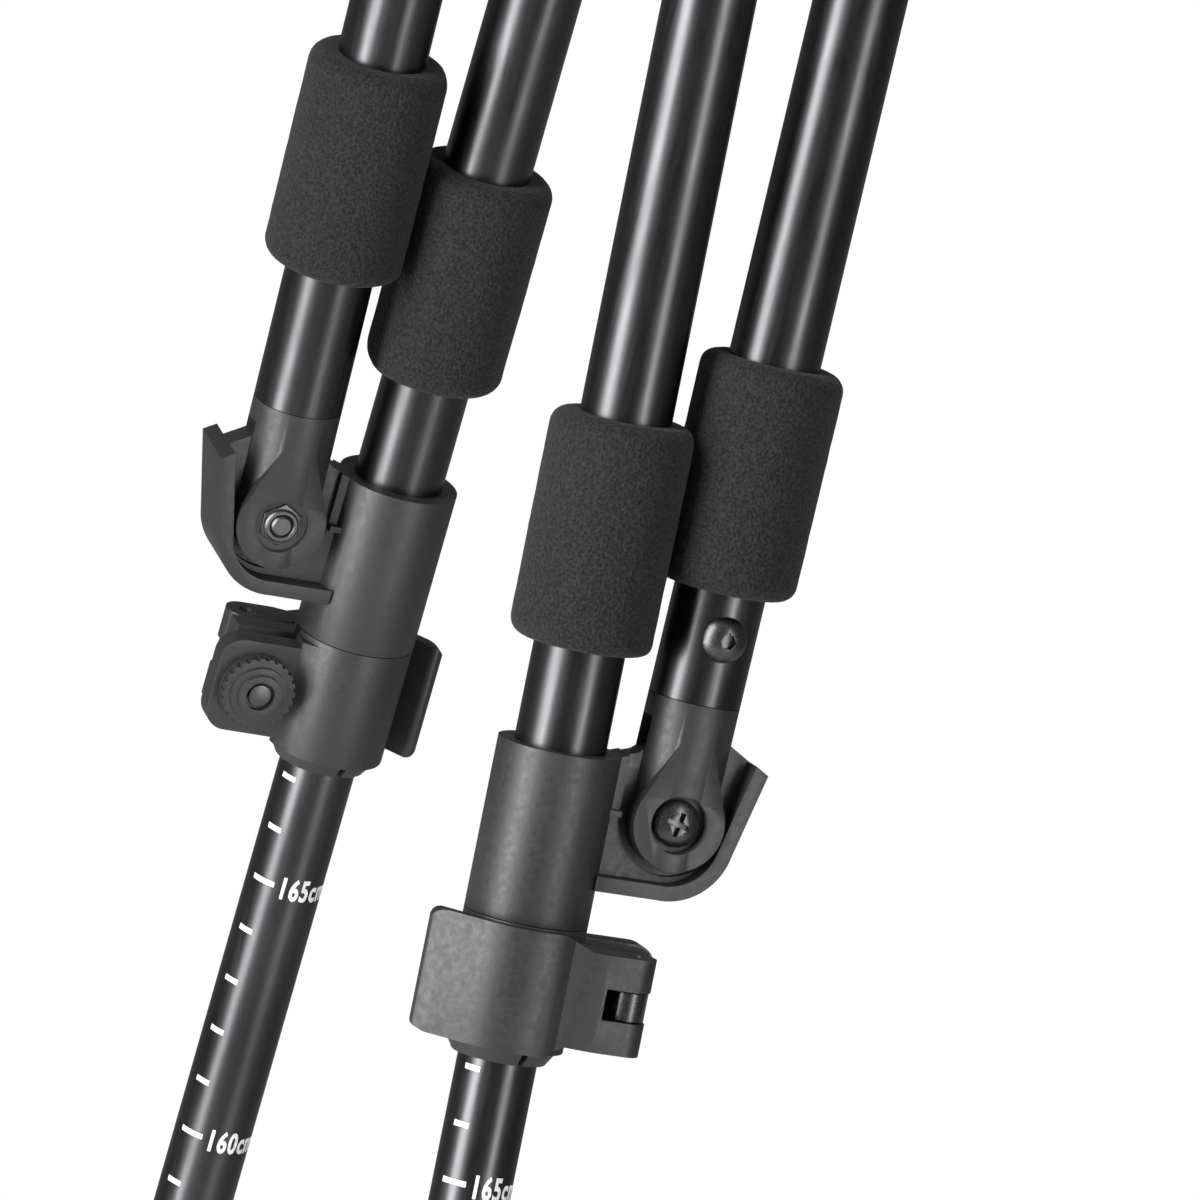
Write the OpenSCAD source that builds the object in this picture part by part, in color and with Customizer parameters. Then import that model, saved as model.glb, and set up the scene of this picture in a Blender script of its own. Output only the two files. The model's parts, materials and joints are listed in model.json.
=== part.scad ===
// Folding double-V support sticks: two telescoping legs, each with a main tube and
// a hinged arm tube, crossed near their tops. Millimetres, Z up, feet on Z = 0.

/* [Tubes] */
// Outer diameter of the main and arm tubes
tube_d = 16; // [14:0.5:20]
// Wall of the main and arm tubes
tube_wall = 1; // [0.8:0.1:1.5]
// Sliding clearance between the lower tube and the main tube, on the radius
slide_gap = 0.08; // [0.03:0.01:0.1]
// Wall of the lower tube
lower_wall = 1; // [0.8:0.1:1.5]
// Length of the lower tube
lower_length = 930; // [800:10:940]
// Length of leg from the crossing to the ground
leg_height = 1670; // [1200:10:1720]
// Length of each tube above the crossing
horn_length = 120; // [90:5:150]

/* [Crossing] */
// Distance from hinge level up to the crossing
crossing_height = 820; // [780:5:880]
// Distance between the two tubes of one crossing
crossing_spacing = 24; // [23.5:0.5:30]
// Angle between an arm tube and its main tube
arm_swing = 2.1; // [2:0.1:4]
// Angle between the two legs
leg_spread = 12; // [8:1:20]
// Radius of the ball saddles on the tubes
saddle_r = 11; // [10.5:0.25:11.5]
// Diameter of the crossing bolts
cross_bolt_d = 5; // [4:0.5:6]

/* [Hinge bracket] */
// Distance from the main tube's axis to the hinge pin
pin_offset = 21.5; // [20.5:0.5:26]
// Wall of the collar round the main tube
collar_wall = 2.8; // [2:0.1:3.5]
// Top of the collar above hinge level
collar_top = 9.6; // [8:0.2:14]
// Bottom of the collar below hinge level
collar_bottom = 20.5; // [18:0.5:24]
// Top of the web above hinge level, inside the fork
web_top = 15.4; // [13:0.2:16]
// Thickness of the web that the fork straddles
web_t = 4.6; // [4:0.2:6]
// Depth of the rim and stop wall
rim_depth = 14; // [10:0.5:16]
// Thickness of the rim
rim_t = 2.6; // [2:0.1:4]
// Depth of the floor below the circle of the stop wall
floor_drop = 2.2; // [0.5:0.1:4]
// Slope of the stop wall, the furthest an arm can open
stop_angle = 14; // [12:1:24]
// Diameter of the hinge screw
hinge_d = 4; // [3:0.5:5]
// Thickness of the fork across its two cheeks
fork_t = 14.8; // [13:0.2:16]

/* [Clamp] */
// Height of the clamp band
band_h = 22; // [20:0.5:26]
// Wall of the clamp band
band_wall = 1.85; // [1.5:0.05:2.2]
// Wall of the split collet
collet_wall = 1.9; // [1.5:0.1:2.5]
// Distance from the tube's axis to the tension bolt
bolt_x = 17.5; // [17:0.5:20]
// Diameter of the tension bolt
tension_d = 4; // [3:0.5:4.5]
// Thickness of the lever
lever_t = 2.3; // [1.8:0.1:2.6]
// Diameter of the thumb wheel
wheel_d = 13.5; // [11:0.5:15]

/* [Foam and feet] */
// Outer diameter of the foam sleeves
foam_d = 25.5; // [22:0.5:28]
// Length of a foam sleeve
foam_length = 40; // [30:1:45]
// Height of each leg's foam sleeves above hinge level, left and right
foam_main_z = [50, 47.4];
foam_arm_z = [67.5, 60.8];
// Diameter of a rubber foot
foot_d = 26; // [22:1:34]

/* [Hidden] */
SIDE_NODES = ["main_tube", "arm_tube", "lower_tube", "hinge_bracket", "arm_fork", "hinge_screw",
    "hinge_nut", "fork_screw", "clamp_band", "clamp_lever", "cam_pin", "tension_bolt",
    "thumb_wheel", "main_foam", "arm_foam", "tube_guide", "foot_ferrule", "steel_tip",
    "rubber_foot", "main_cap", "arm_cap", "main_sleeve", "arm_sleeve", "main_saddle", "arm_saddle"];
CROSS_NODES = ["bolt", "nut", "washers", "bush"];
$fn = 72;

TUBE_BLACK = [0.09, 0.09, 0.10];
PLASTIC = [0.16, 0.16, 0.17];
FOAM = [0.07, 0.07, 0.07];
STEEL = [0.32, 0.32, 0.34];
RUBBER = [0.06, 0.06, 0.06];

tube_r = tube_d / 2;
bore_r = tube_r - tube_wall;
lower_r = bore_r - slide_gap;
fit = 0.05;
// Outlines meet at a shallow angle instead of a tangent, by this much.
skim = 0.03;
face_gap = 0.15;
past = 60;

// The crossing: a leg's two tubes and the line between its crossings make an
// isosceles triangle with its apex at the hinge pin.
arm_reach = sqrt(pow(crossing_height, 2) + pow(pin_offset, 2));
apex_angle = arm_swing + atan(pin_offset / crossing_height);
crossing_line = 2 * arm_reach * sin(apex_angle / 2);
main_cross_x = (crossing_line - crossing_spacing) / 2;
main_tilt = apex_angle / 2 - atan(pin_offset / crossing_height);

// The foot ends in a ball face centred on the leg's axis.
foot_ball_r = foot_d * 0.62;
foot_z = crossing_height - leg_height;
foot_ball_z = foot_z + foot_ball_r;
crossing_z = (crossing_height - foot_ball_z) * cos(main_tilt) * cos(leg_spread / 2) + foot_ball_r;

tube_bottom = -collar_bottom + 1.5;
lower_end = foot_z + 24;
lower_top = lower_end + lower_length;
tube_top = crossing_height + horn_length;
arm_top = arm_reach + horn_length;
collar_r = tube_r + collar_wall;
fork_r = tube_r + 0.2;
rim_in_r = fork_r + 0.5;
rim_out_r = rim_in_r + rim_t;
fork_seam = 21;
slot_top = web_top + 1.7;
spigot_length = 24;
fork_screw_z = 33;
band_top = -collar_bottom - 0.15;
band_mid = band_top - band_h / 2;
lip_h = 2.6;
lip_bottom = band_top - band_h - lip_h;
collet_r = bore_r + collet_wall;
band_in_r = collet_r + fit;
band_r = band_in_r + band_wall;
ear_h = 17.5;
ear_reach = bolt_x + wheel_d / 2 + 1;
ear_in_y = 1.5;
ear_front_y = 6.2;
ear_back_y = 6;
cam_r = 3.7;
cam_y = ear_front_y + cam_r + 0.1;
lever_in_r = band_r + 0.2;
lever_r = lever_in_r + lever_t;
eye_d = 6.4;
eye_h = 4.9;
window_h = 5.5;
cam_pin_d = 2.5;
slot_w = cross_bolt_d + 0.4;
slot_h = cross_bolt_d + 4.6;
dish_r = saddle_r + face_gap;
dish_edge = saddle_r / 2;
guide_length = 30;

// Places a leg part: hinge level on the main axis becomes its place in the object.
module leg_at(side) {
    rotate([0, 0, side == "left_" ? 180 : 0])
        translate([0, 0, crossing_z])
            rotate([-leg_spread / 2, 0, 0])
                translate([-main_cross_x, 0, 0])
                    rotate([0, -main_tilt, 0])
                        translate([0, 0, -crossing_height])
                            children();
}

// Places an arm part: the pin's centre becomes its place beside the main tube.
module arm_at(side) {
    leg_at(side)
        translate([pin_offset, 0, 0])
            rotate([0, arm_swing, 0])
                children();
}

// Places a crossing part: its origin is the main tube's centre, +X towards the arm tube.
module crossing_at(place) {
    rotate([0, 0, place == "rear_" ? 180 : 0])
        translate([main_cross_x, 0, crossing_z])
            children();
}

module ring(outer, inner, height) {
    difference() {
        cylinder(r = outer, h = height);
        translate([0, 0, -1]) cylinder(r = inner, h = height + 2);
    }
}

// Extrudes an outline in X and Z by depth, centred on Y = 0.
module plate(depth) {
    rotate([90, 0, 0]) linear_extrude(height = depth, center = true) children();
}

// A cylinder along Y from y to y + length.
module y_rod(r, y, length, sides = 72) {
    translate([0, y, 0]) rotate([-90, 0, 0]) cylinder(r = r, h = length, $fn = sides);
}

module x_rod(r, x, length, sides = 72) {
    translate([x, 0, 0]) rotate([0, 90, 0]) cylinder(r = r, h = length, $fn = sides);
}

// Two circles joined by their outer tangents, the small one above.
module teardrop(r_low, r_high, rise) {
    lean = asin((r_low - r_high) / rise);
    circle(r = r_low);
    translate([0, rise]) circle(r = r_high);
    low = r_low - skim;
    high = r_high - skim;
    polygon([[low * cos(lean), low * sin(lean)],
             [high * cos(lean), rise + high * sin(lean)],
             [-high * cos(lean), rise + high * sin(lean)],
             [-low * cos(lean), low * sin(lean)]]);
}

// A rectangle with round corners, centred.
module round_rect(w, h, r) {
    square([w - 2 * r, h], center = true);
    square([w, h - 2 * r], center = true);
    for (x = [-1, 1], y = [-1, 1])
        translate([x * (w / 2 - r), y * (h / 2 - r)]) circle(r = r);
}

// The slot in a tube and its saddle that lets the crossing bolt lean.
module bolt_slot() {
    cube([4 * saddle_r, slot_w, slot_h], center = true);
}

module main_tube() {
    color(TUBE_BLACK) difference() {
        translate([0, 0, tube_bottom]) ring(tube_r, bore_r, tube_top - tube_bottom);
        translate([0, 0, crossing_height]) bolt_slot();
    }
}

module arm_tube() {
    color(TUBE_BLACK) difference() {
        translate([0, 0, fork_seam]) ring(tube_r, bore_r, arm_top - fork_seam);
        translate([0, 0, arm_reach]) bolt_slot();
        translate([0, 0, fork_screw_z]) y_rod(1.7, -tube_d, tube_d);
    }
}

module lower_tube() {
    color(TUBE_BLACK)
        translate([0, 0, lower_end]) ring(lower_r, lower_r - lower_wall, lower_length);
}

// The rim's outline: a floor, a quarter turn under the pin and a sloping stop wall.
module rim_outline(r) {
    turn_x = pin_offset - floor_drop * tan(stop_angle);
    translate([turn_x, -floor_drop]) {
        circle(r = r);
        rotate(-stop_angle) square([r - skim, past]);
        polygon([[-1, 0], [-1, past], past * [sin(stop_angle), cos(stop_angle)], [1, 0]]);
    }
    translate([0, skim - r - floor_drop]) square([turn_x, past]);
}

// The web rises from the collar to its top beside the fork and falls to the stop wall.
module bracket_field() {
    polygon([[collar_r - 2, -past], [collar_r - 2, collar_top - 0.4],
             [pin_offset - fork_r, collar_top + 1], [pin_offset - 2, web_top],
             [pin_offset + 6, web_top], [pin_offset + 6 + past, web_top - past * tan(30)],
             [pin_offset + 6 + past, -past]]);
}

module fork_pocket() {
    translate([pin_offset, 0]) {
        circle(r = fork_r + 1.6);
        translate([skim - fork_r - 1.6, 0]) square([past, past]);
    }
}

module hinge_bracket() {
    pad_t = web_t + 2.4;
    rib_t = 1.1;
    color(PLASTIC) difference() {
        union() {
            translate([0, 0, -collar_bottom]) cylinder(r = collar_r, h = collar_top + collar_bottom);
            plate(rim_depth) intersection() {
                difference() { rim_outline(rim_out_r); rim_outline(rim_in_r); }
                bracket_field();
            }
            plate(web_t) intersection() { rim_outline(rim_out_r - 0.5); bracket_field(); }
            plate(pad_t) intersection() {
                difference() { rim_outline(rim_in_r + 0.5); fork_pocket(); }
                bracket_field();
            }
            plate(rim_depth - 4) intersection() {
                difference() {
                    translate([0, -rib_t / 2]) square([pin_offset, rib_t]);
                    fork_pocket();
                }
                bracket_field();
            }
            translate([0, 0, lip_bottom + lip_h]) cylinder(r = collet_r, h = band_h + 1);
            translate([0, 0, lip_bottom]) cylinder(r1 = collet_r - 0.7, r2 = band_r - 1, h = lip_h);
        }
        translate([0, 0, tube_bottom]) cylinder(r = tube_r, h = past);
        translate([0, 0, lip_bottom - 1]) cylinder(r = bore_r, h = past);
        for (turn = [-80, 100])
            rotate([0, 0, turn]) translate([0, -0.6, lip_bottom - 1]) cube([past, 1.2, band_h - 1]);
        translate([pin_offset, 0, 0]) y_rod(hinge_d / 2 + 0.075, -tube_d, 2 * tube_d);
    }
}

module arm_fork() {
    recess_y = fork_t / 2 - 2.4;
    color(PLASTIC) difference() {
        union() {
            intersection() {
                union() {
                    cylinder(r = tube_r, h = fork_seam);
                    translate([0, 0, -past / 2]) cylinder(r = tube_r, h = past / 2);
                }
                plate(2 * tube_d) { circle(r = fork_r); translate([-tube_d, 0]) square([2 * tube_d, fork_seam]); }
            }
            plate(fork_t) teardrop(fork_r, 1.4, 18.2);
            translate([0, 0, fork_seam]) cylinder(r = bore_r - fit, h = spigot_length);
        }
        translate([-tube_d, -web_t / 2 - face_gap, -tube_d])
            cube([2 * tube_d, web_t + 2 * face_gap, tube_d + slot_top]);
        y_rod(hinge_d / 2 + fit, -tube_d, 2 * tube_d);
        y_rod(5.1, -tube_d, tube_d - recess_y);
        y_rod(4.9, fork_t / 2 - 0.6, tube_d);
        rotate([0, 30, 0]) y_rod(7.1 / sqrt(3), fork_t / 2 - 3.4, tube_d, 6);
        translate([0, 0, fork_screw_z]) y_rod(1.65, -tube_d, tube_d);
    }
}

module hinge_screw() {
    head_y = -fork_t / 2 + 0.1;
    seat_y = -fork_t / 2 + 2.4;
    color(STEEL) difference() {
        union() {
            y_rod(hinge_d / 2, seat_y - 1, fork_t - 3);
            intersection() {
                y_rod(4.1, head_y, seat_y - head_y);
                translate([0, seat_y + 4.4, 0]) sphere(r = 6.9, $fn = 48);
            }
        }
        for (turn = [0, 90]) rotate([0, turn + 12, 0])
            translate([-2.2, head_y - 1, -0.45]) cube([4.4, 2.2, 0.9]);
    }
}

module hinge_nut() {
    color(STEEL) difference() {
        rotate([0, 30, 0]) y_rod(7 / sqrt(3), fork_t / 2 - 3.4, 3.1, 6);
        y_rod(hinge_d / 2 + 0.02, 0, tube_d);
    }
}

module fork_screw() {
    color(STEEL) translate([0, 0, fork_screw_z]) difference() {
        union() {
            y_rod(1.6, -tube_r - 1, tube_r);
            intersection() {
                y_rod(4, -tube_r - 2.2, 2.2);
                translate([0, -tube_r + 2.6, 0]) sphere(r = 4.9, $fn = 48);
            }
        }
        y_rod(2.5 / sqrt(3), -tube_r - 3, 2.2, 6);
    }
}

// The band that squeezes the collet, with the two ears that the tension bolt pulls together.
module clamp_band() {
    color(PLASTIC) difference() {
        union() {
            translate([0, 0, band_mid - band_h / 2]) cylinder(r = band_r, h = band_h);
            translate([0, -ear_front_y, band_mid - ear_h / 2])
                cube([bolt_x + cam_r, ear_front_y, ear_h]);
            translate([(ear_reach + 4) / 2, ear_back_y / 2, band_mid])
                rotate([90, 0, 0]) linear_extrude(height = ear_back_y, center = true)
                    round_rect(ear_reach - 4, ear_h, 4);
            translate([0, 0, band_mid - ear_h / 2 - 1.2])
                linear_extrude(height = ear_h + 2.4)
                    polygon([[0, 0], [0, band_r - 0.3], [7, ear_back_y + 1.6], [11, ear_back_y], [11, 0]]);
        }
        translate([0, 0, band_mid - past]) cylinder(r = band_in_r, h = 2 * past);
        translate([0, -ear_in_y, band_mid - past]) cube([past, 2 * ear_in_y, 2 * past]);
        translate([bolt_x, 0, band_mid]) y_rod(tension_d / 2 + fit, -past / 2, past);
    }
}

// Points along an arc about a centre, one every few degrees.
function arc(centre, r, from, to) =
    let (steps = ceil(abs(to - from) / 5))
        [for (i = [0 : steps]) let (turn = from + (to - from) * i / steps)
            centre + r * [cos(turn), sin(turn)]];

// The lever's plan: a strip that wraps the band, a straight finger tab and a round cam end.
module lever_plan() {
    wrap_from = 225;
    wrap_to = 295;
    tab_length = 10.5;
    tab_end = (lever_in_r + lever_t / 2) * [cos(wrap_from), sin(wrap_from)]
        + tab_length * [cos(wrap_from - 90), sin(wrap_from - 90)];
    polygon(concat(arc(tab_end, lever_t / 2 + 0.3, wrap_from - 180, wrap_from),
                   arc([0, 0], lever_r, wrap_from, wrap_to),
                   [[bolt_x - 6, -cam_y - cam_r]],
                   arc([bolt_x, -cam_y], cam_r, -90, 90),
                   [[band_r - 1, -ear_front_y - 1]],
                   arc([0, 0], lever_in_r, wrap_to, wrap_from)));
}

// The lever seen from the front: round corners at the tab, narrower at the cam end.
module lever_front() {
    half = (band_h - 0.5) / 2;
    step = 2.2;
    corner = 2.5;
    corner_x = corner - lever_r - 4.3;
    polygon(concat(arc([corner_x, corner - half], corner, 180, 270),
                   [[3.4, -half], [7, step - half], [past, step - half],
                    [past, half - step], [9, half - step], [3.4, half]],
                   arc([corner_x, half - corner], corner, 90, 180)));
}

module clamp_lever() {
    color(PLASTIC) difference() {
        intersection() {
            translate([0, 0, band_mid - past]) linear_extrude(height = 2 * past) lever_plan();
            translate([0, 0, band_mid]) plate(2 * past) lever_front();
        }
        translate([bolt_x - 5.2, -past, band_mid - window_h / 2]) cube([past, past, window_h]);
        translate([bolt_x, -cam_y, band_mid - past]) cylinder(r = cam_pin_d / 2 + fit, h = 2 * past);
    }
}

module cam_pin() {
    color(STEEL) translate([bolt_x, -cam_y, band_mid - 8]) cylinder(r = cam_pin_d / 2, h = 16);
}

module tension_bolt() {
    color(STEEL) translate([bolt_x, 0, band_mid]) difference() {
        union() {
            y_rod(tension_d / 2, -cam_y, cam_y + ear_back_y + 3.6);
            translate([0, -cam_y, -eye_h / 2]) cylinder(r = eye_d / 2, h = eye_h);
        }
        translate([0, -cam_y, -eye_h]) cylinder(r = cam_pin_d / 2 + 0.02, h = 2 * eye_h);
    }
}

module thumb_wheel() {
    notches = 24;
    start = ear_back_y + 0.1;
    color(PLASTIC) translate([bolt_x, 0, band_mid]) difference() {
        union() {
            y_rod(wheel_d / 2, start, 2.6);
            y_rod(wheel_d / 2 - 1.6, start, 3.3);
            y_rod(wheel_d / 2 - 2.8, start, 4.1);
        }
        y_rod(tension_d / 2 + fit, 0, past);
        y_rod(2.65, start + 2.8, past);
        for (turn = [0 : 360 / notches : 359]) rotate([0, turn, 0])
            translate([wheel_d / 2, 0, 0]) y_rod(0.42, start + 1, past, 16);
    }
}

// A foam sleeve, pressed flat where the other sleeve bears on it.
module foam_sleeve(middle, toward) {
    crown = 3;
    flat_x = pin_offset / 2 - face_gap;
    color(FOAM) difference() {
        translate([0, 0, middle - foam_length / 2]) rotate_extrude() difference() {
            union() {
                translate([tube_r, 0]) square([foam_d / 2 - tube_r - crown, foam_length]);
                translate([tube_r, crown]) square([foam_d / 2 - tube_r, foam_length - 2 * crown]);
                for (z = [crown, foam_length - crown])
                    translate([foam_d / 2 - crown, z]) circle(r = crown);
            }
            translate([0, -1]) square([tube_r, foam_length + 2]);
        }
        translate([toward * flat_x, 0, 0]) rotate([0, toward * arm_swing / 2, 0])
            translate([toward > 0 ? 0 : -past, -past, -past]) cube([past, 2 * past, 5 * past]);
    }
}

// The plastic guide on the lower tube's top end: a plug and a rim of the bore's size.
module tube_guide() {
    color(PLASTIC) translate([0, 0, lower_top]) {
        ring(bore_r - fit, bore_r - 3, 6);
        translate([0, 0, -guide_length]) ring(lower_r - lower_wall - fit, bore_r - 3, guide_length);
    }
}

module foot_ferrule() {
    length = 46;
    color(PLASTIC) translate([0, 0, lower_end - 10]) difference() {
        union() {
            cylinder(r1 = lower_r - 0.8, r2 = lower_r + 1.6, h = 10);
            translate([0, 0, 10]) cylinder(r1 = lower_r + 1.6, r2 = lower_r + 1.2, h = length - 14);
            translate([0, 0, length - 4]) cylinder(r1 = lower_r + 1.2, r2 = lower_r + 0.4, h = 4);
        }
        translate([0, 0, 10]) cylinder(r = lower_r, h = length);
        translate([0, 0, -1]) cylinder(r = 2.5, h = length);
    }
}

module steel_tip() {
    color(STEEL) translate([0, 0, lower_end - 14]) {
        cylinder(r = 2.45, h = 22);
        translate([0, 0, -2]) cylinder(r1 = 1.4, r2 = 2.45, h = 2);
    }
}

// The rubber foot: a ball-faced pad with a neck that grips the ferrule.
module rubber_foot() {
    pad_h = 9;
    neck_top = 30;
    color(RUBBER) difference() {
        union() {
            intersection() {
                translate([0, 0, foot_ball_z]) sphere(r = foot_ball_r, $fn = 96);
                translate([0, 0, foot_z - 1]) cylinder(r = foot_d / 2, h = pad_h + 1);
            }
            translate([0, 0, foot_z + pad_h - 0.5]) cylinder(r1 = foot_d / 2 - 1, r2 = lower_r + 3.2, h = 5.5);
            translate([0, 0, foot_z + pad_h + 4]) cylinder(r = lower_r + 3.2, h = neck_top - pad_h - 4);
        }
        translate([0, 0, lower_end - 10]) cylinder(r1 = lower_r - 0.8, r2 = lower_r + 1.6, h = 10);
        translate([0, 0, lower_end]) cylinder(r = lower_r + 1.6, h = past);
        translate([0, 0, foot_z + 6]) cylinder(r = 2.6, h = past);
    }
}

module end_cap(top) {
    color(PLASTIC) translate([0, 0, top]) {
        cylinder(r = tube_r, h = 1.5);
        translate([0, 0, 1.5]) cylinder(r1 = tube_r, r2 = tube_r - 1.2, h = 1.2);
        translate([0, 0, -12]) cylinder(r = bore_r - fit, h = 12);
    }
}

module horn_sleeve(top) {
    length = horn_length - 35;
    color(FOAM) translate([0, 0, top - length - 3]) {
        ring(tube_r + 2.2, tube_r, length);
        for (z = [0, length - 4]) translate([0, 0, z]) ring(tube_r + 2.7, tube_r, 4);
    }
}

module saddle(height) {
    hub_h = 28;
    color(PLASTIC) translate([0, 0, height]) difference() {
        union() {
            sphere(r = saddle_r, $fn = 96);
            difference() {
                translate([0, 0, -hub_h / 2]) cylinder(r = tube_r + 1.8, h = hub_h);
                x_rod(dish_edge + 2.7, -past / 2, past);
            }
        }
        translate([0, 0, -past / 2]) cylinder(r = tube_r, h = past);
        bolt_slot();
    }
}

// Both crossings: a dished head by the main tube, a dished spacer between the
// saddles, and a dished washer under the nut beyond the arm tube.
nut_x = crossing_spacing + saddle_r + 3.2;

module cross_bolt() {
    head_t = 1.85;
    color(STEEL) {
        x_rod(cross_bolt_d / 2, -dish_r - 0.6, nut_x + dish_r + 6.2);
        intersection() {
            x_rod(dish_edge, -dish_r - head_t, dish_r);
            difference() {
                sphere(r = dish_r + head_t, $fn = 96);
                sphere(r = dish_r, $fn = 96);
            }
        }
    }
}

module cross_nut() {
    color(STEEL) difference() {
        x_rod(8 / sqrt(3), nut_x, 4.5, 6);
        x_rod(cross_bolt_d / 2 + 0.02, 0, 2 * past);
    }
}

module cross_washers() {
    color(STEEL) difference() {
        x_rod(dish_edge, crossing_spacing + 7, nut_x - crossing_spacing - 7.02);
        translate([crossing_spacing, 0, 0]) sphere(r = dish_r, $fn = 96);
        x_rod(cross_bolt_d / 2 + fit, 0, 2 * past);
    }
}

module cross_bush() {
    color(RUBBER) difference() {
        x_rod(dish_edge, 0, crossing_spacing);
        for (x = [0, crossing_spacing]) translate([x, 0, 0]) sphere(r = dish_r, $fn = 96);
        x_rod(cross_bolt_d / 2 + fit, -1, 2 * past);
    }
}

module leg_part(part, side) {
    if (part == "main_tube") main_tube();
    if (part == "lower_tube") lower_tube();
    if (part == "hinge_bracket") hinge_bracket();
    if (part == "clamp_band") clamp_band();
    if (part == "clamp_lever") clamp_lever();
    if (part == "cam_pin") cam_pin();
    if (part == "tension_bolt") tension_bolt();
    if (part == "thumb_wheel") thumb_wheel();
    if (part == "main_foam") foam_sleeve(foam_main_z[side], 1);
    if (part == "tube_guide") tube_guide();
    if (part == "foot_ferrule") foot_ferrule();
    if (part == "steel_tip") steel_tip();
    if (part == "rubber_foot") rubber_foot();
    if (part == "main_cap") end_cap(tube_top);
    if (part == "main_sleeve") horn_sleeve(tube_top);
    if (part == "main_saddle") saddle(crossing_height);
}

module arm_part(part, side) {
    if (part == "arm_tube") arm_tube();
    if (part == "arm_fork") arm_fork();
    if (part == "hinge_screw") hinge_screw();
    if (part == "hinge_nut") hinge_nut();
    if (part == "fork_screw") fork_screw();
    if (part == "arm_foam") foam_sleeve(foam_arm_z[side], -1);
    if (part == "arm_cap") end_cap(arm_top);
    if (part == "arm_sleeve") horn_sleeve(arm_top);
    if (part == "arm_saddle") saddle(arm_reach);
}

module cross_part(part) {
    if (part == "bolt") cross_bolt();
    if (part == "nut") cross_nut();
    if (part == "washers") cross_washers();
    if (part == "bush") cross_bush();
}

for (side = ["left_", "right_"], part = SIDE_NODES)
    union() {
        leg_at(side) leg_part(part, side == "left_" ? 0 : 1);
        arm_at(side) arm_part(part, side == "left_" ? 0 : 1);
    }
for (place = ["front_", "rear_"], part = CROSS_NODES)
    crossing_at(place) cross_part(part);
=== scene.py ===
import json
import math
import bmesh
import bpy
from mathutils import Matrix, Vector, noise


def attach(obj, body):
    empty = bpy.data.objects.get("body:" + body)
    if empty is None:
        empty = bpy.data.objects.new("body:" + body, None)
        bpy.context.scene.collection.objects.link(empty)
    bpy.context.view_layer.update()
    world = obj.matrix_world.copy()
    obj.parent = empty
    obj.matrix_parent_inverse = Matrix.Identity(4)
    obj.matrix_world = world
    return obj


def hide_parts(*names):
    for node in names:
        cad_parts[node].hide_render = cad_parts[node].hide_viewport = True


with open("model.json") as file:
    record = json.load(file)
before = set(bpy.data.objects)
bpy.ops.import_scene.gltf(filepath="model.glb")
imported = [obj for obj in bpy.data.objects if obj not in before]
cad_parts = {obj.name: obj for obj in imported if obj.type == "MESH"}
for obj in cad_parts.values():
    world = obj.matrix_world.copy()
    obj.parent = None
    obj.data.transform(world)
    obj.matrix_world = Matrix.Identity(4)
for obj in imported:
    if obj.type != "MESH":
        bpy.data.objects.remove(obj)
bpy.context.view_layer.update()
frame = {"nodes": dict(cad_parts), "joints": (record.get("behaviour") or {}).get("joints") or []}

# --- Where the legs stand -------------------------------------------------------------
# Each leg is measured along its own axes: x towards its arm tube, y along the hinge
# pin, z up the main tube from hinge level. An arm has the same axes, from its pin.
MM = 0.001
SIDES = ("left", "right")
PIN_OFFSET = 21.5
joints = {joint["name"]: joint for joint in frame["joints"]}


def axes_at(place, depth, up):
    across = depth.cross(up).normalized()
    turn = Matrix((across, depth, up)).transposed().to_4x4()
    return Matrix.Translation(place) @ turn @ Matrix.Scale(MM, 4)


leg_place = {}
arm_place = {}
for side in SIDES:
    pin = Vector(joints[side + "_hinge"]["pos_m"])
    depth = Vector(joints[side + "_wheel_turn"]["axis"]).normalized()
    up = -Vector(joints[side + "_extend"]["axis"]).normalized()
    leg_place[side] = axes_at(pin - depth.cross(up) * PIN_OFFSET * MM, depth, up)
    crossing = Vector(joints["rear_tilt" if side == "left" else "front_tilt_far"]["pos_m"])
    arm_place[side] = axes_at(pin, depth, (crossing - pin).normalized())


# --- Black anodised tubes -------------------------------------------------------------
# Drawn aluminium, satin black anodised: fine lines along the tube, a soft double
# highlight, and faint random patches in its tone.
def new_material(name):
    material = bpy.data.materials.new(name)
    material.use_nodes = True
    nodes = material.node_tree.nodes
    return material, nodes, material.node_tree.links, nodes["Principled BSDF"]


def grain(nodes, links, scale, stretch=(1, 1, 1), detail=4):
    """A noise on Object coordinates, stretched along the piece where asked."""
    place = nodes.new("ShaderNodeTexCoord")
    mapping = nodes.new("ShaderNodeMapping")
    mapping.inputs["Scale"].default_value = stretch
    texture = nodes.new("ShaderNodeTexNoise")
    texture.inputs["Scale"].default_value = scale
    texture.inputs["Detail"].default_value = detail
    links.new(place.outputs["Object"], mapping.inputs["Vector"])
    links.new(mapping.outputs["Vector"], texture.inputs["Vector"])
    return texture.outputs["Fac"]


def spread(nodes, links, source, low, high, from_low=0.3, from_high=0.7):
    """The source's middle range mapped to low..high."""
    remap = nodes.new("ShaderNodeMapRange")
    remap.inputs["From Min"].default_value = from_low
    remap.inputs["From Max"].default_value = from_high
    remap.inputs["To Min"].default_value = low
    remap.inputs["To Max"].default_value = high
    links.new(source, remap.inputs["Value"])
    return remap.outputs["Result"]


def two_tones(nodes, links, source, dark, light, from_low=0.35, from_high=0.65):
    ramp = nodes.new("ShaderNodeValToRGB")
    ramp.color_ramp.elements[0].position = from_low
    ramp.color_ramp.elements[1].position = from_high
    ramp.color_ramp.elements[0].color = (*dark, 1)
    ramp.color_ramp.elements[1].color = (*light, 1)
    links.new(source, ramp.inputs["Fac"])
    return ramp.outputs["Color"]


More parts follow.
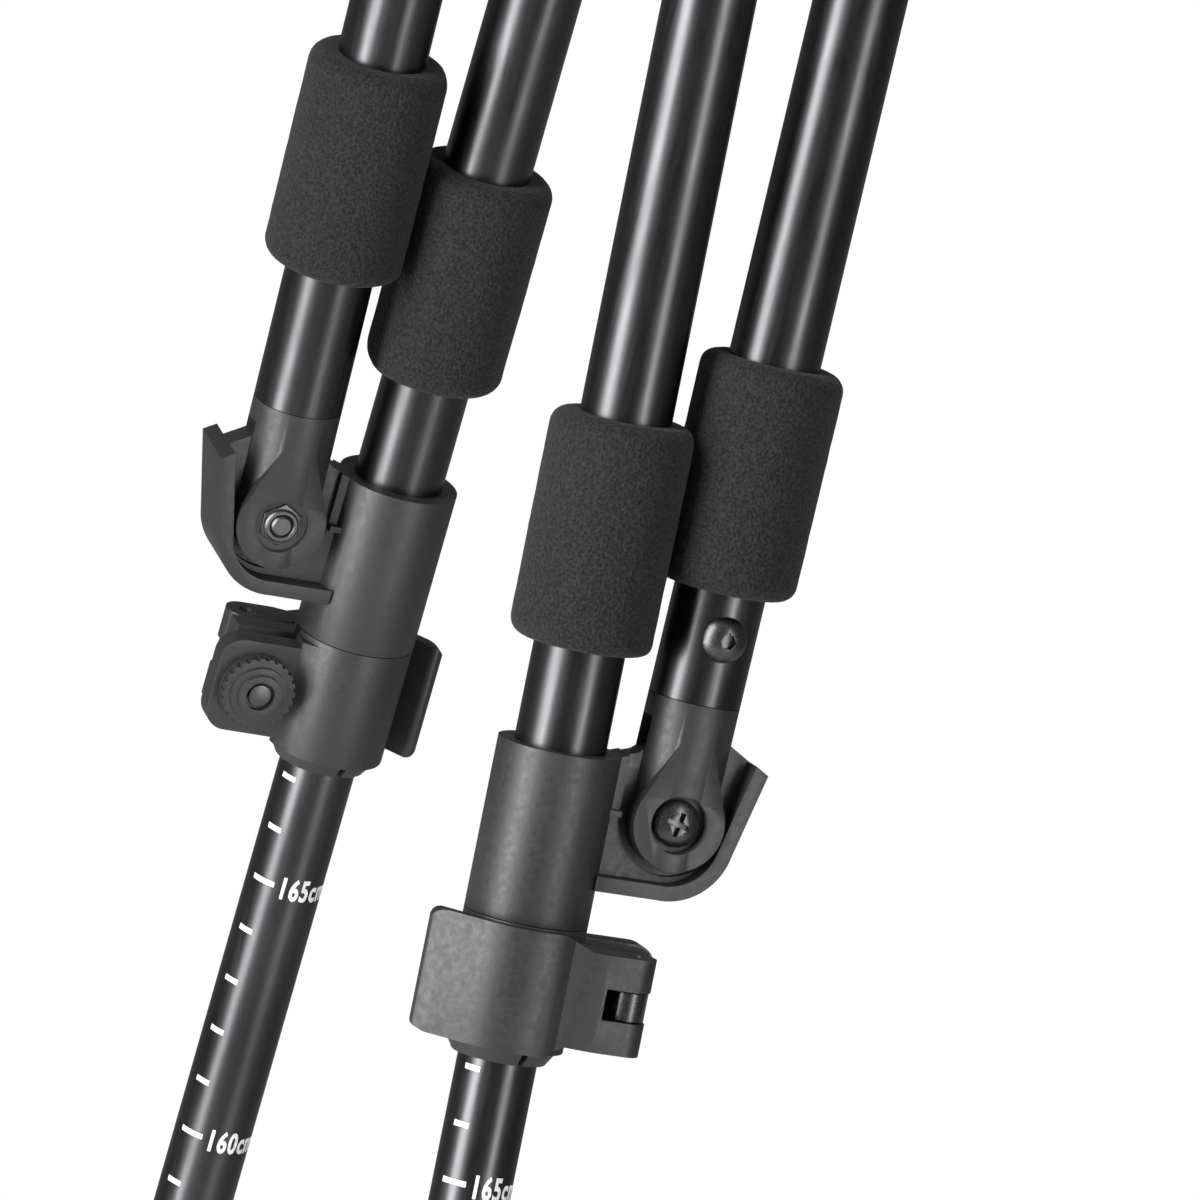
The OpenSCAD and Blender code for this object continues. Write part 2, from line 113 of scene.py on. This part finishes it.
def bumped(nodes, links, shader, heights):
    """Chains bumps of (source, distance in metres, strength) into the shader's normal."""
    last = None
    for source, distance, strength in heights:
        bump = nodes.new("ShaderNodeBump")
        bump.inputs["Distance"].default_value = distance
        bump.inputs["Strength"].default_value = strength
        links.new(source, bump.inputs["Height"])
        if last:
            links.new(last, bump.inputs["Normal"])
        last = bump.outputs["Normal"]
    links.new(last, shader.inputs["Normal"])


anodised, nodes, links, shader = new_material("black_anodised")
lines = grain(nodes, links, 900, (1, 1, 0.02))
cloud = grain(nodes, links, 28)
links.new(two_tones(nodes, links, cloud, (0.055, 0.055, 0.057), (0.072, 0.072, 0.075)),
          shader.inputs["Base Color"])
shader.inputs["Metallic"].default_value = 1.0
links.new(spread(nodes, links, lines, 0.27, 0.36), shader.inputs["Roughness"])
bumped(nodes, links, shader, [(lines, 0.00002, 0.25)])

TUBE_R = 8.0
LOWER_R = 6.92
TUBE_WALL = 1.0
MAIN_ENDS = (-16, 940)
ARM_ENDS = (21.0, 940.3)
LOWER_ENDS = (-826, 104)


def linked(name, data):
    thing = bpy.data.objects.new(name, data)
    bpy.context.collection.objects.link(thing)
    return thing


def mesh_as_shown(thing):
    """The mesh that an object has once its modifiers or its letters are worked out."""
    bpy.context.view_layer.update()
    shown = thing.evaluated_get(bpy.context.evaluated_depsgraph_get())
    return bpy.data.meshes.new_from_object(shown)


def turned(name, outline, place, segments=96, sharp=35):
    """A solid turned about z from a closed outline of (radius, height) points."""
    mesh = bmesh.new()
    rings = []
    for turn in range(segments):
        angle = math.tau * turn / segments
        rings.append([mesh.verts.new((r * math.cos(angle), r * math.sin(angle), z))
                      for r, z in outline])
    for turn in range(segments):
        here, there = rings[turn], rings[(turn + 1) % segments]
        for i in range(len(outline)):
            j = (i + 1) % len(outline)
            mesh.faces.new((here[i], there[i], there[j], here[j]))
    bmesh.ops.remove_doubles(mesh, verts=mesh.verts, dist=1e-5)
    bmesh.ops.recalc_face_normals(mesh, faces=mesh.faces)
    return finished(name, mesh, place, sharp)


def finished(name, mesh, place, sharp=35):
    """Puts a mesh in its place, smooths it between its sharp edges and links it."""
    data = bpy.data.meshes.new(name)
    mesh.to_mesh(data)
    mesh.free()
    data.transform(place)
    data.polygons.foreach_set("use_smooth", [True] * len(data.polygons))
    data.set_sharp_from_angle(angle=math.radians(sharp))
    return linked(name, data)


def settle(piece, material, body, slot, *replaced):
    """Gives a piece its only material and its body, and hides the node it stands for; the slot is not used.
    """
    piece.data.materials.clear()
    piece.data.materials.append(material)
    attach(piece, body)
    if replaced:
        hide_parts(*replaced)
    return piece


def tube_outline(outer, ends, edge=0.15):
    """The wall of a tube, with its outer corners just broken."""
    low, high = ends
    inner = outer - TUBE_WALL
    return [(inner, low), (outer - edge, low), (outer, low + edge),
            (outer, high - edge), (outer - edge, high), (inner, high)]


for side in SIDES:
    for tube, outer, ends, place, body in (("_main_tube", TUBE_R, MAIN_ENDS, leg_place[side], "_leg"),
                                           ("_arm_tube", TUBE_R, ARM_ENDS, arm_place[side], "_arm"),
                                           ("_lower_tube", LOWER_R, LOWER_ENDS, leg_place[side], "_lower")):
        piece = turned(side + tube + "_skin", tube_outline(outer, ends), place)
        settle(piece, anodised, side + body, "anodised_tube", side + tube)


# --- Printed scale --------------------------------------------------------------------
# White ink on each lower tube: a short mark at every centimetre, a longer one with
# its number at every fifth, so that both legs can be set to the same height.
ink, nodes, links, shader = new_material("white_ink")
worn = grain(nodes, links, 2600)
links.new(two_tones(nodes, links, worn, (0.62, 0.62, 0.61), (0.86, 0.86, 0.85)),
          shader.inputs["Base Color"])
shader.inputs["Roughness"].default_value = 0.55

LIP_READING = {"left": 167.3, "right": 167.2}
LIP_Z = -45.25
LOWEST_MARK = 100
HIGHEST_MARK = 172
HIGHEST_NUMBER = 170
INK_R = LOWER_R + 0.03
INK_ROOT_R = LOWER_R - 0.05
MARK_HEIGHT = 1.0
MARK_START = {"left": -342.0, "right": -157.0}
MARK_SWEEP = 26.0
LONG_MARK_SWEEP = 39.0
NUMBER_AFTER = 46.0
NUMBER_SIZE = 5.6
CONDENSED = 0.66


def reading_z(side, reading):
    """The height of a reading in centimetres, counted from the lip of the collet."""
    return LIP_Z - 10 * (LIP_READING[side] - reading)


def mark_tree():
    """Instances one bent mark on every point of a line, a centimetre apart."""
    tree = bpy.data.node_groups.new("scale_marks", "GeometryNodeTree")
    tree.interface.new_socket("Geometry", in_out="INPUT", socket_type="NodeSocketGeometry")
    for label, kind in (("Count", "NodeSocketInt"), ("Step", "NodeSocketFloat"),
                        ("Ink", "NodeSocketMaterial")):
        tree.interface.new_socket(label, in_out="INPUT", socket_type=kind)
    tree.interface.new_socket("Geometry", in_out="OUTPUT", socket_type="NodeSocketGeometry")
    made = tree.nodes
    start = made.new("NodeGroupInput")
    end = made.new("NodeGroupOutput")
    line = made.new("GeometryNodeMeshLine")
    offset = made.new("ShaderNodeCombineXYZ")
    copies = made.new("GeometryNodeInstanceOnPoints")
    real = made.new("GeometryNodeRealizeInstances")
    paint = made.new("GeometryNodeSetMaterial")
    join = tree.links.new
    join(start.outputs["Step"], offset.inputs["Z"])
    join(start.outputs["Count"], line.inputs["Count"])
    join(offset.outputs["Vector"], line.inputs["Offset"])
    join(line.outputs["Mesh"], copies.inputs["Points"])
    join(start.outputs["Geometry"], copies.inputs["Instance"])
    join(copies.outputs["Instances"], real.inputs["Geometry"])
    join(real.outputs["Geometry"], paint.inputs["Geometry"])
    join(start.outputs["Ink"], paint.inputs["Material"])
    join(paint.outputs["Geometry"], end.inputs["Geometry"])
    return tree


def bent_mark(name, start, sweep, z, steps=10):
    """A thin closed patch of ink that follows the tube."""
    section = ((INK_ROOT_R, 0), (INK_R, 0), (INK_R, MARK_HEIGHT), (INK_ROOT_R, MARK_HEIGHT))
    mesh = bmesh.new()
    columns = []
    for i in range(steps + 1):
        angle = math.radians(start + sweep * i / steps)
        columns.append([mesh.verts.new((r * math.cos(angle), r * math.sin(angle), z + rise))
                        for r, rise in section])
    for here, there in zip(columns, columns[1:]):
        for i in range(4):
            j = (i + 1) % 4
            mesh.faces.new((here[i], there[i], there[j], here[j]))
    mesh.faces.new(columns[0])
    mesh.faces.new(columns[-1])
    bmesh.ops.recalc_face_normals(mesh, faces=mesh.faces)
    data = bpy.data.meshes.new(name)
    mesh.to_mesh(data)
    mesh.free()
    return linked(name, data)


def row_of_marks(side, name, sweep, last, step):
    """Marks from the lowest up to the last, every so many centimetres."""
    low = reading_z(side, LOWEST_MARK) - MARK_HEIGHT / 2
    piece = bent_mark(side + name, MARK_START[side], sweep, low)
    rows = piece.modifiers.new("rows", "NODES")
    rows.node_group = marks
    sockets = {item.name: item.identifier for item in marks.interface.items_tree
               if item.in_out == "INPUT"}
    rows[sockets["Count"]] = (last - LOWEST_MARK) // step + 1
    rows[sockets["Step"]] = 10.0 * step
    rows[sockets["Ink"]] = ink
    plain = mesh_as_shown(piece)
    piece.modifiers.clear()
    piece.data = plain
    plain.transform(leg_place[side])
    settle(piece, ink, side + "_lower", "anodised_tube")


def number_on_tube(side, reading, start):
    """The number as bold condensed text, bent round the tube."""
    curve = bpy.data.curves.new("number", "FONT")
    curve.body = str(reading) + "cm"
    curve.size = NUMBER_SIZE
    curve.offset = 0.17
    curve.extrude = 0.02
    curve.resolution_u = 3
    curve.space_character = 1.12
    letters = linked("number", curve)
    data = mesh_as_shown(letters)
    bpy.data.objects.remove(letters)
    mesh = bmesh.new()
    mesh.from_mesh(data)
    bpy.data.meshes.remove(data)
    long_edges = [edge for edge in mesh.edges if edge.calc_length() > 1.0]
    bmesh.ops.subdivide_edges(mesh, edges=long_edges, cuts=2)
    base_line = reading_z(side, reading) - 2.0
    for vert in mesh.verts:
        angle = math.radians(start) + vert.co.x * CONDENSED / LOWER_R
        r = INK_R + vert.co.z
        vert.co = (r * math.cos(angle), r * math.sin(angle), base_line + vert.co.y)
    return mesh


marks = mark_tree()
for side in SIDES:
    row_of_marks(side, "_scale_marks", MARK_SWEEP, HIGHEST_MARK, 1)
    row_of_marks(side, "_scale_long_marks", LONG_MARK_SWEEP, HIGHEST_NUMBER, 5)
    numbers = bmesh.new()
    for reading in range(LOWEST_MARK, HIGHEST_NUMBER + 1, 5):
        one = number_on_tube(side, reading, MARK_START[side] + NUMBER_AFTER)
        data = bpy.data.meshes.new("one_number")
        one.to_mesh(data)
        one.free()
        numbers.from_mesh(data)
        bpy.data.meshes.remove(data)
    piece = finished(side + "_scale_numbers", numbers, leg_place[side])
    settle(piece, ink, side + "_lower", "anodised_tube")


# --- Moulded brackets, forks and clamps -----------------------------------------------
# Glass-filled nylon from a spark-textured mould: charcoal, a fine even grain, rounded
# edges, and a little random change in tone and roughness.
nylon, nodes, links, shader = new_material("moulded_nylon")
spark = grain(nodes, links, 2600, detail=2)
pebble = grain(nodes, links, 900, detail=3)
flow = grain(nodes, links, 30)
links.new(two_tones(nodes, links, flow, (0.012, 0.012, 0.0122), (0.018, 0.018, 0.0183)),
          shader.inputs["Base Color"])
links.new(spread(nodes, links, pebble, 0.41, 0.54), shader.inputs["Roughness"])
shader.inputs["Specular IOR Level"].default_value = 0.55
bumped(nodes, links, shader, [(pebble, 0.00006, 0.35), (spark, 0.00003, 0.4)])


def rounded_copy(node, edge):
    """A copy of a CAD node with its loose triangles joined and its edges rounded."""
    data = frame["nodes"][node].data.copy()
    mesh = bmesh.new()
    mesh.from_mesh(data)
    bmesh.ops.remove_doubles(mesh, verts=mesh.verts, dist=2e-6)
    bmesh.ops.dissolve_limit(mesh, angle_limit=math.radians(0.6), verts=mesh.verts, edges=mesh.edges)
    mesh.to_mesh(data)
    mesh.free()
    data.name = node + "_skin"
    piece = linked(node + "_skin", data)
    bevel = piece.modifiers.new("edges", "BEVEL")
    bevel.width = edge * MM
    bevel.segments = 3
    bevel.limit_method = "ANGLE"
    bevel.angle_limit = math.radians(32)
    plain = mesh_as_shown(piece)
    piece.modifiers.clear()
    piece.data = plain
    plain.polygons.foreach_set("use_smooth", [True] * len(plain.polygons))
    plain.set_sharp_from_angle(angle=math.radians(30))
    return piece


# each part's body, and how far its edges are rounded in millimetres
MOULDED = {"hinge_bracket": ("leg", 0.45), "arm_fork": ("arm", 0.5), "clamp_band": ("leg", 0.5),
           "clamp_lever": ("lever", 0.6), "thumb_wheel": ("wheel", 0.2), "foot_ferrule": ("lower", 0.3),
           "main_cap": ("leg", 0.4), "arm_cap": ("arm", 0.4), "main_saddle": ("leg", 0.3),
           "arm_saddle": ("arm", 0.3), "tube_guide": ("lower", 0.2)}
for side in SIDES:
    for part, (body, edge) in MOULDED.items():
        node = side + "_" + part
        settle(rounded_copy(node, edge), nylon, side + "_" + body, "moulded_nylon", node)


# --- Screws, nuts and pins ------------------------------------------------------------
# Black-oxide steel: a pan-head hinge screw, its lock nut with a round collar, a button
# head in the fork, the clamp's bolt and pin, and the crossing bolts.
oxide, nodes, links, shader = new_material("black_oxide_steel")
scratch = grain(nodes, links, 4000, (1, 1, 1), 2)
links.new(two_tones(nodes, links, scratch, (0.07, 0.07, 0.072), (0.095, 0.095, 0.097)),
          shader.inputs["Base Color"])
shader.inputs["Metallic"].default_value = 1.0
links.new(spread(nodes, links, scratch, 0.25, 0.42), shader.inputs["Roughness"])
bumped(nodes, links, shader, [(scratch, 0.000006, 0.3)])

# the bolt's bevelled end and the nut's round collar, as outlines along the hinge pin
BOLT_END = [(0.0, -1.0), (1.92, -1.0), (1.92, 0.55), (1.57, 0.9), (0.0, 0.9)]
NUT_COLLAR = [(1.98, -1.2), (3.1, -1.2), (3.1, 0.3), (2.8, 0.6), (2.3, 0.6), (1.98, 0.3)]
along_pin = Matrix.Rotation(math.radians(-90), 4, "X")
for side in SIDES:
    for name, outline, depth, segments in (("_hinge_bolt_end", BOLT_END, 7.0, 40),
                                           ("_nut_collar", NUT_COLLAR, 7.1, 48)):
        there = arm_place[side] @ Matrix.Translation((0, depth, 0)) @ along_pin
        piece = turned(side + name, outline, there, segments)
        settle(piece, oxide, side + "_arm", "dark_steel")

STEEL = {"hinge_screw": ("arm", 0.12), "hinge_nut": ("arm", 0.15), "fork_screw": ("arm", 0.15),
         "cam_pin": ("leg", 0.1), "tension_bolt": ("leg", 0.25), "steel_tip": ("lower", 0.2)}
for side in SIDES:
    for part, (body, edge) in STEEL.items():
        node = side + "_" + part
        settle(rounded_copy(node, edge), oxide, side + "_" + body, "dark_steel", node)
for crossing in ("front", "rear"):
    for part in ("bolt", "nut", "washers"):
        node = crossing + "_" + part
        settle(rounded_copy(node, 0.2), oxide, crossing + "_pivot", "dark_steel", node)


# --- Foam sleeves ---------------------------------------------------------------------
# Closed-cell foam tube, cut to length and pushed over the metal: a fine dry grain, soft
# round ends, and a flat where the two sleeves of a leg press together.
foam, nodes, links, shader = new_material("black_foam")
cells = nodes.new("ShaderNodeTexVoronoi")
cells.inputs["Scale"].default_value = 1500
where = nodes.new("ShaderNodeTexCoord")
links.new(where.outputs["Object"], cells.inputs["Vector"])
pores = grain(nodes, links, 1700, detail=3)
tone = grain(nodes, links, 2000, detail=3)
links.new(two_tones(nodes, links, tone, (0.002, 0.002, 0.002), (0.017, 0.017, 0.017)),
          shader.inputs["Base Color"])
shader.inputs["Roughness"].default_value = 0.88
shader.inputs["Specular IOR Level"].default_value = 0.28
shader.inputs["Sheen Weight"].default_value = 0.05
shader.inputs["Sheen Roughness"].default_value = 0.5
bumped(nodes, links, shader, [(pores, 0.0003, 0.8), (cells.outputs["Distance"], 0.00025, 0.7)])


FOAM_R = 12.75
FOAM_BORE_R = TUBE_R - 0.02
FOAM_LENGTH = 40.0
FOAM_MIDDLE = {"left_main": 50.0, "right_main": 47.4, "left_arm": 67.5, "right_arm": 60.8}
HORN_FOAM_R = 10.6
HORN_FOAM_LENGTH = 85.0
HORN_FOAM_TO_TOP = 88


def foam_outline(outer, length, crown, rows):
    """Closed outline of a sleeve with round ends and a straight middle."""
    points = [(FOAM_BORE_R, 0.0)]
    for i in range(9):
        angle = math.radians(-90 + 90 * i / 8)
        points.append((outer - crown + crown * math.cos(angle), crown + crown * math.sin(angle)))
    for i in range(1, rows):
        points.append((outer, crown + (length - 2 * crown) * i / rows))
    for i in range(9):
        angle = math.radians(90 * i / 8)
        points.append((outer - crown + crown * math.cos(angle),
                       length - crown + crown * math.sin(angle)))
    points.append((FOAM_BORE_R, length))
    return points


def pressed(piece, place, toward):
    """Flattens the side that bears on the other sleeve and roughens the skin a little."""
    back = place.inverted()
    give = 1.2
    for vert in piece.data.vertices:
        p = back @ vert.co
        halfway = 10.6 + 0.0183 * p.z
        flat = halfway - give
        reach = p.x * toward
        if reach > flat:
            over = reach - flat
            reach = flat + give * (1 - math.exp(-over / give))
            p.x = reach * toward
        r = math.hypot(p.x, p.y)
        if r > TUBE_R + 1:
            dent = 0.07 * noise.noise(Vector((p.x, p.y, p.z)) * 0.35) - 0.03
            p.x += p.x / r * dent
            p.y += p.y / r * dent
        vert.co = place @ p


for side in SIDES:
    for tube, places, body, toward in (("main", leg_place, "leg", 1), ("arm", arm_place, "arm", -1)):
        part = tube + "_foam"
        middle = FOAM_MIDDLE[side + "_" + tube]
        place = places[side]
        shift = place @ Matrix.Translation((0, 0, middle - FOAM_LENGTH / 2))
        outline = foam_outline(FOAM_R, FOAM_LENGTH, 3.0, 26)
        piece = turned(side + "_" + part + "_skin", outline, shift, 160, 60)
        pressed(piece, place, toward)
        settle(piece, foam, side + "_" + body, "foam", side + "_" + part)
    for part, places, body, top in (("main_sleeve", leg_place, "leg", 940.0),
                                    ("arm_sleeve", arm_place, "arm", 940.28)):
        shift = places[side] @ Matrix.Translation((0, 0, top - HORN_FOAM_TO_TOP))
        outline = foam_outline(HORN_FOAM_R, HORN_FOAM_LENGTH, 1.6, 50)
        piece = turned(side + "_" + part + "_skin", outline, shift, 96, 60)
        settle(piece, foam, side + "_" + body, "foam", side + "_" + part)


# --- Rubber feet and crossing bushes --------------------------------------------------
# Moulded rubber, matte and a little dusty at the ball face, with the bushes that let
# the crossed tubes lean against each other.
rubber, nodes, links, shader = new_material("foot_rubber")
dust = grain(nodes, links, 120)
links.new(two_tones(nodes, links, dust, (0.018, 0.018, 0.018), (0.034, 0.033, 0.032)),
          shader.inputs["Base Color"])
links.new(spread(nodes, links, dust, 0.65, 0.85), shader.inputs["Roughness"])
bumped(nodes, links, shader, [(grain(nodes, links, 1400), 0.00008, 0.4)])
for side in SIDES:
    node = side + "_rubber_foot"
    settle(rounded_copy(node, 0.8), rubber, side + "_lower", "rubber", node)
settle(rounded_copy("front_bush", 0.3), rubber, "front_spacer", "rubber", "front_bush")
settle(rounded_copy("rear_bush", 0.3), rubber, "rear_pivot", "rubber", "rear_bush")


# --- Studio ---------------------------------------------------------------------------
# A floor that looks white and a pale surround, two tall soft boxes that draw the long
# highlights, and a broad weak fill from above.
floor_white, nodes, links, shader = new_material("studio_floor")
shader.inputs["Base Color"].default_value = (0.8, 0.8, 0.8, 1)
shader.inputs["Roughness"].default_value = 0.9
seen = nodes.new("ShaderNodeLightPath")
white = nodes.new("ShaderNodeEmission")
mix = nodes.new("ShaderNodeMixShader")
links.new(seen.outputs["Is Camera Ray"], mix.inputs[0])
links.new(shader.outputs[0], mix.inputs[1])
links.new(white.outputs[0], mix.inputs[2])
links.new(mix.outputs[0], nodes["Material Output"].inputs["Surface"])
bpy.ops.mesh.primitive_plane_add(size=14, location=(0, 0, 0))
floor = bpy.context.object
floor.name = "studio_floor"
floor.data.materials.append(floor_white)

world = bpy.data.worlds.new("studio")
bpy.context.scene.world = world
world.use_nodes = True
nodes, links = world.node_tree.nodes, world.node_tree.links
plain = nodes["Background"]
plain.inputs["Color"].default_value = (1, 1, 1, 1)
plain.inputs["Strength"].default_value = 0.16
seen_white = nodes.new("ShaderNodeBackground")
path = nodes.new("ShaderNodeLightPath")
choose = nodes.new("ShaderNodeMixShader")
links.new(path.outputs["Is Camera Ray"], choose.inputs[0])
links.new(plain.outputs[0], choose.inputs[1])
links.new(seen_white.outputs[0], choose.inputs[2])
links.new(choose.outputs[0], nodes["World Output"].inputs["Surface"])

AIM = Vector((0.01915, -0.00686, 0.86183))


def soft_box(name, direction, distance, width, height, power):
    lamp = bpy.data.lights.new(name, "AREA")
    lamp.shape = "RECTANGLE"
    lamp.size = width
    lamp.size_y = height
    lamp.energy = power
    box = linked(name, lamp)
    box.location = AIM + direction * distance
    box.rotation_euler = direction.to_track_quat("Z", "Y").to_euler()


def bearing(azimuth, elevation):
    """The direction from the sticks to something seen at these angles in degrees."""
    a, e = math.radians(azimuth), math.radians(elevation)
    return Vector((math.sin(a) * math.cos(e), -math.cos(a) * math.cos(e), math.sin(e)))


soft_box("left_box", bearing(-70, 6), 1.6, 0.62, 2.8, 80)
soft_box("right_box", bearing(22, 8), 2.0, 0.40, 2.8, 32)
soft_box("top_box", bearing(-20, 75), 2.4, 1.4, 1.4, 6)


# --- Camera ---------------------------------------------------------------------------
# A long lens about four metres away, a little above the hinges and turned about its
# own axis, so that the sticks lean to the right.
AZIMUTH = -19.71
ELEVATION = 13.3
ROLL = 13.65
DISTANCE = 4.093
VIEW_WIDTH = 0.209534
SENSOR_WIDTH = 36
back = bearing(AZIMUTH, ELEVATION)
level = Vector((math.cos(math.radians(AZIMUTH)), math.sin(math.radians(AZIMUTH)), 0))
rise = back.cross(level)
roll = math.radians(ROLL)
right = level * math.cos(roll) + rise * math.sin(roll)
upward = rise * math.cos(roll) - level * math.sin(roll)
camera_data = bpy.data.cameras.new("camera")
camera_data.sensor_width = SENSOR_WIDTH
camera_data.lens = DISTANCE / VIEW_WIDTH * SENSOR_WIDTH
camera_data.clip_end = 50
camera = linked("camera", camera_data)
view = Matrix((right, upward, back)).transposed().to_4x4()
camera.matrix_world = Matrix.Translation(AIM + back * DISTANCE) @ view
bpy.context.scene.camera = camera
bpy.context.scene.view_settings.view_transform = "Standard"
